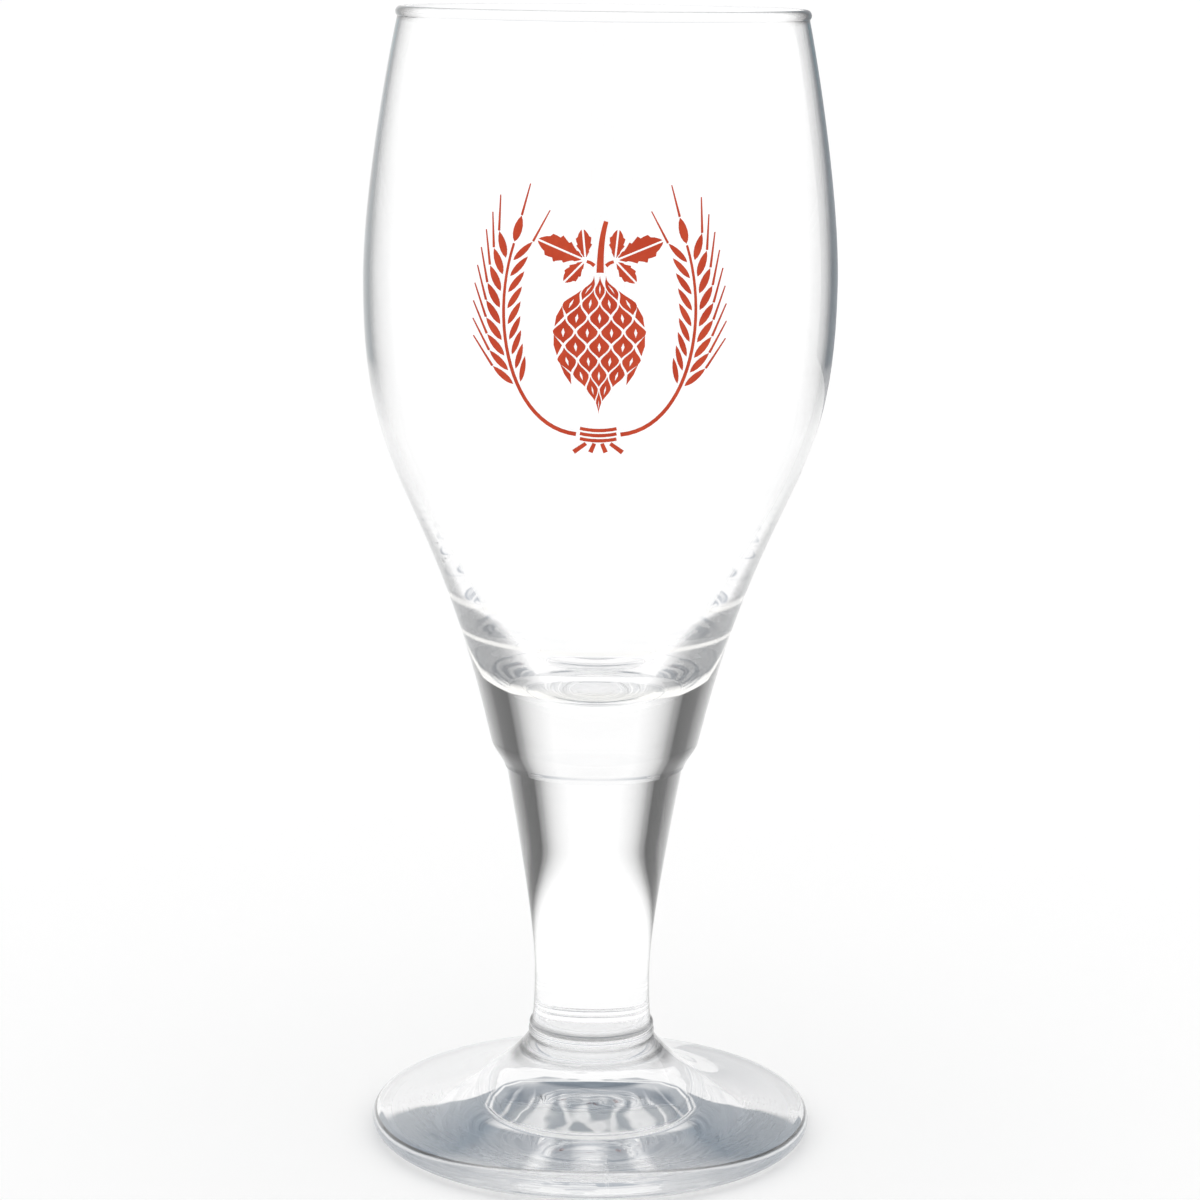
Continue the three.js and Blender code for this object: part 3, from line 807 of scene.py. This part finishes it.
class TASTING_OT_bowl(bpy.types.Operator):
    """Turn the blown bowl with its thick base, thin wall and beaded rim"""

    bl_idname = "tasting.bowl"
    bl_label = "Bowl"

    def execute(self, context):
        sizes, look = context.scene.glass_sizes, context.scene.studio_look
        lower, upper = bowl_outside(sizes)
        collar, belly, neck = lower[0], lower[3], upper[3]
        weld = Vector((sizes.stem_top_diameter / 2, 0))
        pad = weld + flat(0.25, 0)
        step = collar - pad
        rim_wall = 1.2 * MM
        bead_centre = Vector((neck.x - rim_wall / 2, sizes.bowl_height - BEAD_RADIUS))
        bead = arc(bead_centre, BEAD_RADIUS, -math.pi / 4, 1.25 * math.pi, 3)
        inside_neck = neck - Vector((rim_wall, 0))
        inside_belly = belly - Vector((sizes.wall, 0))
        reach = neck.y - belly.y
        shoulder_height = 24 * MM
        shoulder_wall = 3 * MM
        shoulder = Vector((radius_at(lower, shoulder_height) - shoulder_wall, shoulder_height))
        depth = belly.y - shoulder_height
        fall = shoulder_height - sizes.base_thickness
        stretches = [
            straight((0, 0), weld),
            straight(weld, pad),
            sweep(pad, (pad.x + 0.2 * step.x, 0.35 * step.y),
                  (collar.x - COLLAR_LEAN * 0.35 * step.y, 0.65 * step.y), collar),
            lower,
            upper,
            straight(neck, bead[0][0]),
            *bead,
            straight(bead[-1][3], inside_neck),
            sweep(inside_neck, inside_neck + reach * NECK_HANDLE,
                  inside_belly + reach * BELLY_HANDLE, inside_belly),
            sweep(inside_belly, inside_belly - Vector((0, 0.45 * depth)),
                  shoulder + 0.44 * depth * Vector((0.5, 1)), shoulder),
            sweep(shoulder, shoulder - 0.52 * fall * Vector((0.5, 1)),
                  (0.54 * shoulder.x, sizes.base_thickness), (0, sizes.base_thickness)),
        ]
        base = sizes.foot_height + sizes.stem_length
        bowl = turn("bowl_glass", stretches, base, 28)
        glass = glass_finish("blown_bowl_glass", look, BOWL_RIPPLES)
        # Painted light and shade: dark base sides, a crescent and rings of light, grey shoulders, dim wall
        # edges
        shade_outside(glass, blend(1.0, base_painted_light_and_shade(glass), wall_painted_shade(glass), "MULTIPLY"))
        finish_glass(bowl, glass, [base], weld.x)
        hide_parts("bowl")
        return {"FINISHED"}


def heading(angle):
    """The direction at an angle in degrees from the viewer's right."""
    return Vector((math.cos(math.radians(angle)), math.sin(math.radians(angle))))


def across(direction):
    return Vector((-direction.y, direction.x))


def polygon(points):
    """A closed outline of straight stretches."""
    return [straight(spot, points[(i + 1) % len(points)]) for i, spot in enumerate(points)]


def ribbon(spine, start_width, end_width):
    """A closed outline of a line that tapers along its spine."""
    left, right = [], []
    last = len(spine) - 1
    for i, spot in enumerate(spine):
        side = across((spine[min(i + 1, last)] - spine[max(i - 1, 0)]).normalized())
        half = (start_width + (end_width - start_width) * i / last) / 2
        left.append(spot + half * side)
        right.append(spot - half * side)
    return polygon(left + right[::-1])


def along(stretch, start, end, count):
    """Points spread along part of a curved stretch."""
    return [point_on(stretch, start + (end - start) * i / (count - 1)) for i in range(count)]


def seed(base, direction, length, width):
    """A pointed oval that grows from its base."""
    tip = base + length * direction
    side = width * 2 / 3 * across(direction)
    low, high = base + 0.2 * length * direction, base + 0.7 * length * direction
    return [sweep(base, low - side, high - side, tip), sweep(tip, high + side, low + side, base)]


def scale_outline(spot):
    """A hop scale on the cone's grid: narrow above, round at its shoulders and drawn to a tip below."""
    return [
        sweep(spot(1, 0), spot(1, -0.45), spot(0.35, -0.62), spot(0, -1)),
        sweep(spot(0, -1), spot(-0.35, -0.62), spot(-1, -0.45), spot(-1, 0)),
        sweep(spot(-1, 0), spot(-0.72, 0.4), spot(-0.2, 0.55), spot(0, 1)),
        sweep(spot(0, 1), spot(0.2, 0.55), spot(0.72, 0.4), spot(1, 0)),
    ]


def half_lobe(base, direction, length, width, teeth, side):
    """One toothed half of a leaf's lobe, beside its midrib."""
    gap = 0.12 * MM * side * across(direction)
    points = [base + gap + 0.04 * length * direction]
    for tooth in range(teeth):
        for share, swell in ((tooth + 0.35, 0.93), (tooth + 0.8, 1.1), (tooth + 1.0, 0.84)):
            place = share / teeth
            if place < 0.99:
                reach = swell * width * math.sin(math.pi * place ** 1.25) ** 0.9
                points.append(base + gap + place * length * direction + reach * side * across(direction))
    points.append(base + gap + length * direction)
    return polygon(points)


def mirrored(outlines, side):
    """Outlines for the viewer's right, or the same turned over for the left."""
    if side > 0:
        return outlines
    return [[[Vector((-spot.x, spot.y)) for spot in stretch] for stretch in outline]
            for outline in outlines]


def lay_film(name, node, outlines, scene):
    """A patch of enamel: flat outlines filled, laid on the bowl's front and given their thickness."""
    sizes = scene.emblem_sizes
    curve = bpy.data.curves.new(name, "CURVE")
    curve.dimensions = "2D"
    curve.fill_mode = "BOTH"
    curve.resolution_u = 6
    for outline in outlines:
        add_spline(curve, outline, lambda spot: (spot.x, spot.y, 0.0), True)
    piece = mesh_from(curve)
    bpy.ops.object.mode_set(mode="EDIT")
    bpy.ops.mesh.select_all(action="SELECT")
    bpy.ops.mesh.remove_doubles(threshold=FILM_MERGE)
    bpy.ops.mesh.subdivide(number_cuts=1)
    bpy.ops.object.mode_set(mode="OBJECT")
    piece.location = (0, -scene.glass_sizes.belly_diameter, sizes.centre_height)
    piece.rotation_euler = (math.pi / 2, 0, 0)
    bpy.ops.object.transform_apply(location=True, rotation=True, scale=True)
    wrap = piece.modifiers.new("lie_on_bowl", "SHRINKWRAP")
    wrap.target = bpy.data.objects["bowl_glass"]
    wrap.wrap_method = "PROJECT"
    wrap.wrap_mode = "ABOVE_SURFACE"
    wrap.use_project_y = True
    wrap.offset = sizes.lift
    bpy.ops.object.modifier_apply(modifier=wrap.name)
    thick = piece.modifiers.new("film", "SOLIDIFY")
    thick.thickness = sizes.film
    thick.offset = 1.0
    bpy.ops.object.modifier_apply(modifier=thick.name)
    bpy.ops.object.shade_smooth_by_angle(angle=math.radians(40))
    piece.data.materials.append(enamel_finish(scene.studio_look))
    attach(piece, BODY)
    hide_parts(node)


# Layout of the emblem from its middle: the top of the hop cone, the right straw, where its ear starts, the
# angles of its grains and awns in degrees, and the gap before an awn and its widths at both ends
CONE_TOP = flat(0, 5)
STRAW = sweep(flat(2.9, -15.3), flat(11.5, -14.5), flat(14.5, -1), flat(11.2, 9.5))
EAR_START = 0.42
GRAIN_ANGLE = 30
AWN_ANGLE = 13
AWN_GAP = 0.1 * MM
AWN_WIDTHS = (0.3 * MM, 0.14 * MM)


class TASTING_OT_hop_cone(bpy.types.Operator):
    """Print the hop cone: rows of pointed scales, each with a slit for its vein"""

    bl_idname = "tasting.hop_cone"
    bl_label = "Hop cone"

    def execute(self, context):
        sizes = context.scene.emblem_sizes
        rows = sizes.cone_rows
        snug = 0.86

        def on_cone(place, share):
            swell = math.sin(math.pi * min(max(share, 0.02), 1.0) ** 0.8) ** 0.7
            return CONE_TOP + Vector((place * swell * sizes.cone_width / 2, -share * sizes.cone_length))

        outlines = []
        for row in range(rows):
            share = (row + 0.5) / rows
            places = (-0.75, -0.25, 0.25, 0.75) if row % 2 else (-0.5, 0.0, 0.5)
            for place in places[1:-1] if row >= rows - 2 else places:
                def spot(x, y):
                    return on_cone(place + x * snug / 4, share - y * snug / rows)

                outlines.append(scale_outline(spot))
                slit = [spot(0, 0.25), spot(0.16, -0.1), spot(0, -0.5), spot(-0.16, -0.1)]
                outlines.append(polygon(slit))
            if row % 2 == 0 and 0 < row < rows - 2:
                for side in (1, -1):
                    notch = [on_cone(side * (0.76 + 0.2 * out), share + down / rows)
                             for out, down in ((0.12, 0.0), (0.9, -0.72), (1.0, 0.0), (0.9, 0.72))]
                    outlines.append(polygon(notch))
        lay_film("enamel_hop_cone", "print_hop_cone", outlines, context.scene)
        return {"FINISHED"}


class TASTING_OT_hop_stalk(bpy.types.Operator):
    """Print the hop's bent stalk"""

    bl_idname = "tasting.hop_stalk"
    bl_label = "Hop stalk"

    def execute(self, context):
        bend = sweep(flat(0, 6), flat(0, 8.5), flat(0.1, 10.5), flat(0.7, 12.6))
        outlines = [ribbon(along(bend, 0, 1, 9), 0.95 * MM, 0.6 * MM)]
        lay_film("enamel_hop_stalk", "print_hop_stalk", outlines, context.scene)
        return {"FINISHED"}


class TASTING_OT_leaves(bpy.types.Operator):
    """Print the two hop leaves, each of three toothed lobes"""

    bl_idname = "tasting.leaves"
    bl_label = "Hop leaves"

    def execute(self, context):
        length = context.scene.emblem_sizes.leaf_length
        base = flat(1.9, 7.6)
        outlines = [ribbon([flat(0.75, 6.9), flat(1.2, 7.25), flat(1.75, 7.45)], 0.5 * MM, 0.4 * MM)]
        for angle, reach, width, teeth in ((22, 1.0, 0.24, 5), (-46, 0.58, 0.14, 4), (84, 0.58, 0.14, 4)):
            direction = heading(angle)
            start = base + 0.25 * MM * direction
            for side in (1, -1):
                outlines.append(half_lobe(start, direction, reach * length, width * length, teeth, side))
        for word, side in (("right", 1), ("left", -1)):
            lay_film("enamel_leaf_" + word, "print_leaf_" + word, mirrored(outlines, side), context.scene)
        return {"FINISHED"}


class TASTING_OT_ears(bpy.types.Operator):
    """Print the two ears of barley: a straw, pairs of grains and their awns"""

    bl_idname = "tasting.ears"
    bl_label = "Barley ears"

    def execute(self, context):
        sizes = context.scene.emblem_sizes
        spots = along(STRAW, EAR_START, 1, sizes.grains + 1)
        outlines = [ribbon(along(STRAW, 0, 1, 25), 1.3 * sizes.line, 0.7 * sizes.line)]
        for spot, following in zip(spots, spots[1:]):
            step = following - spot
            ahead = math.degrees(math.atan2(step.y, step.x))
            width = 0.9 * step.length * math.sin(math.radians(GRAIN_ANGLE))
            for side, fill in ((1, 0.82), (-1, 1.0)):
                direction = heading(ahead + side * GRAIN_ANGLE)
                base = spot + (0.5 * sizes.line + 0.3 * MM) * side * across(step.normalized())
                outlines.append(seed(base, direction, sizes.grain_length, fill * width))
                tip = base + (sizes.grain_length + AWN_GAP) * direction
                awn = heading(ahead + side * AWN_ANGLE)
                if side < 0 or following is spots[-1]:
                    spine = [tip, tip + 2.2 * MM * awn, tip + 4.6 * MM * awn]
                    outlines.append(ribbon(spine, *AWN_WIDTHS))
        onward = (spots[-1] - spots[-2]).normalized()
        top = spots[-1] + 0.2 * MM * onward
        outlines.append(seed(top, onward, sizes.grain_length, 1.1 * MM))
        tip = top + (sizes.grain_length + AWN_GAP) * onward
        outlines.append(ribbon([tip, tip + 2.0 * MM * onward, tip + 4.2 * MM * onward], *AWN_WIDTHS))
        for word, side in (("right", 1), ("left", -1)):
            lay_film("enamel_ear_" + word, "print_ear_" + word, mirrored(outlines, side), context.scene)
        return {"FINISHED"}


class TASTING_OT_tie(bpy.types.Operator):
    """Print the tie round the straws, with their cut ends below"""

    bl_idname = "tasting.tie"
    bl_label = "Tie"

    def execute(self, context):
        outlines = []
        for height in (-14.5, -15.2, -15.9):
            low = height - 0.35
            sag = sweep(flat(-2.4, height), flat(-1, low), flat(1, low), flat(2.4, height))
            outlines.append(ribbon(along(sag, 0, 1, 9), 0.45 * MM, 0.45 * MM))
        for start, end in ((0.5, 1.0), (1.6, 3.2)):
            straw = ribbon([flat(start, -16.55), flat(end, -17.75)], 0.5 * MM, 0.62 * MM)
            outlines += [straw, *mirrored([straw], -1)]
        lay_film("enamel_tie", "print_tie", outlines, context.scene)
        return {"FINISHED"}


def matte_finish(name, colour):
    """A plain dull finish, and its shader."""
    matte = bpy.data.materials.new(name)
    matte.use_nodes = True
    shader = matte.node_tree.nodes["Principled BSDF"]
    shader.inputs["Base Color"].default_value = (*colour, 1.0)
    shader.inputs["Roughness"].default_value = 1.0
    shader.inputs["Specular IOR Level"].default_value = 0.0
    return matte, shader


def lay_floor(look):
    """The pale floor, which glows a little to the camera and to the glass and keeps the object's shadow."""
    start_clean()
    bpy.ops.mesh.primitive_plane_add(size=FLOOR_SIZE, location=(0, 0, -FLOOR_DROP))
    floor = bpy.context.object
    floor.name = "studio_floor"
    pale, shader = matte_finish("pale_floor", look.floor_white)
    shader.inputs["Emission Color"].default_value = WHITE
    path = pale.node_tree.nodes.new("ShaderNodeLightPath")
    seen = combine("MAXIMUM", path.outputs["Is Glossy Ray"], path.outputs["Is Transmission Ray"])
    seen = combine("MAXIMUM", path.outputs["Is Camera Ray"], seen)
    through = combine("MULTIPLY", path.outputs["Is Transmission Ray"], FLOOR_GLOW_IN_GLASS)
    glow = combine("MAXIMUM", through, combine("MULTIPLY", seen, FLOOR_GLOW))
    feed(shader.inputs["Emission Strength"], glow)
    floor.data.materials.append(pale)


def stand_card(look):
    """A grey card to the right behind the glass, which shows only in mirror reflections."""
    start_clean()
    bpy.ops.mesh.primitive_plane_add(
        size=1, location=CARD_PLACE, rotation=(math.pi / 2, 0, math.radians(CARD_TURN)))
    card = bpy.context.object
    card.name = "studio_card"
    card.scale = (*CARD_SIZE, 1.0)
    bpy.ops.object.transform_apply(location=True, rotation=True, scale=True)
    card.data.materials.append(matte_finish("dim_card", look.card_grey)[0])
    card.visible_camera = card.visible_diffuse = card.visible_transmission = card.visible_shadow = False


def light_studio(scene, look):
    """Even white light from all round. Only glass shows the dim band in the studio's upper part."""
    world = bpy.data.worlds.new("white_studio")
    world.use_nodes = True
    tree = world.node_tree
    path = tree.nodes.new("ShaderNodeLightPath")
    place = tree.nodes.new("ShaderNodeTexCoord")
    axes = tree.nodes.new("ShaderNodeSeparateXYZ")
    feed(axes.inputs["Vector"], place.outputs["Generated"])
    stops = [(math.sin(math.radians(angle)), level) for angle, level in STUDIO_SKY]
    sky = ramp(axes.outputs["Z"], stops, look.sky_grey)
    by_glass = combine("MAXIMUM", path.outputs["Is Glossy Ray"], path.outputs["Is Transmission Ray"])
    not_lighting = combine("LESS_THAN", path.outputs["Diffuse Depth"], 0.5)
    share = combine("MULTIPLY", by_glass, not_lighting)
    background = tree.nodes["Background"]
    feed(background.inputs["Color"], blend(share, WHITE, sky))
    background.inputs["Strength"].default_value = 1.0
    scene.world = world


def aim_camera(scene):
    """The camera at the photograph's place."""
    camera = bpy.data.cameras.new("photo_camera")
    camera.sensor_width = CAMERA_SENSOR
    camera.lens = CAMERA_LENS
    eye = bpy.data.objects.new("photo_camera", camera)
    scene.collection.objects.link(eye)
    eye.location = Vector(CAMERA_PLACE) * MM
    eye.rotation_euler = (math.radians(90 - CAMERA_TILT), 0, 0)
    eye.rotation_euler.rotate_axis("Z", math.radians(CAMERA_ROLL))
    scene.camera = eye


class TASTING_OT_studio(bpy.types.Operator):
    """Set up the pale floor, the soft light and the camera"""

    bl_idname = "tasting.studio"
    bl_label = "Studio"

    def execute(self, context):
        scene = context.scene
        lay_floor(scene.studio_look)
        stand_card(scene.studio_look)
        light_studio(scene, scene.studio_look)
        scene.cycles.max_bounces = BOUNCES
        scene.cycles.transmission_bounces = BOUNCES
        scene.cycles.glossy_bounces = BOUNCES
        scene.cycles.transparent_max_bounces = CLEAR_BOUNCES
        aim_camera(scene)
        scene.view_settings.view_transform = "Standard"
        return {"FINISHED"}


OPERATORS = (
    TASTING_OT_foot, TASTING_OT_stem, TASTING_OT_bowl, TASTING_OT_hop_cone, TASTING_OT_hop_stalk,
    TASTING_OT_leaves, TASTING_OT_ears, TASTING_OT_tie, TASTING_OT_studio,
)


class TASTING_PT_sidebar(bpy.types.Panel):
    """Pieces of the glass, and the sizes and colours that shape them"""

    bl_idname = "TASTING_PT_sidebar"
    bl_label = "Tasting glass"
    bl_space_type = "VIEW_3D"
    bl_region_type = "UI"
    bl_category = "Glass"

    def draw(self, context):
        scene = context.scene
        for operator in OPERATORS:
            self.layout.operator(operator.bl_idname)
        for values in (scene.glass_sizes, scene.emblem_sizes, scene.studio_look):
            box = self.layout.box()
            for name in type(values).__annotations__:
                box.prop(values, name)


CLASSES = (GlassSizes, EmblemSizes, StudioLook, *OPERATORS, TASTING_PT_sidebar)


def register():
    for made in CLASSES:
        bpy.utils.register_class(made)
    bpy.types.Scene.glass_sizes = PointerProperty(type=GlassSizes)
    bpy.types.Scene.emblem_sizes = PointerProperty(type=EmblemSizes)
    bpy.types.Scene.studio_look = PointerProperty(type=StudioLook)


def unregister():
    del bpy.types.Scene.glass_sizes
    del bpy.types.Scene.emblem_sizes
    del bpy.types.Scene.studio_look
    for made in reversed(CLASSES):
        bpy.utils.unregister_class(made)


def main():
    register()
    bpy.ops.tasting.foot()
    bpy.ops.tasting.stem()
    bpy.ops.tasting.bowl()
    bpy.ops.tasting.hop_cone()
    bpy.ops.tasting.hop_stalk()
    bpy.ops.tasting.leaves()
    bpy.ops.tasting.ears()
    bpy.ops.tasting.tie()
    bpy.ops.tasting.studio()


if __name__ == "__main__":
    main()
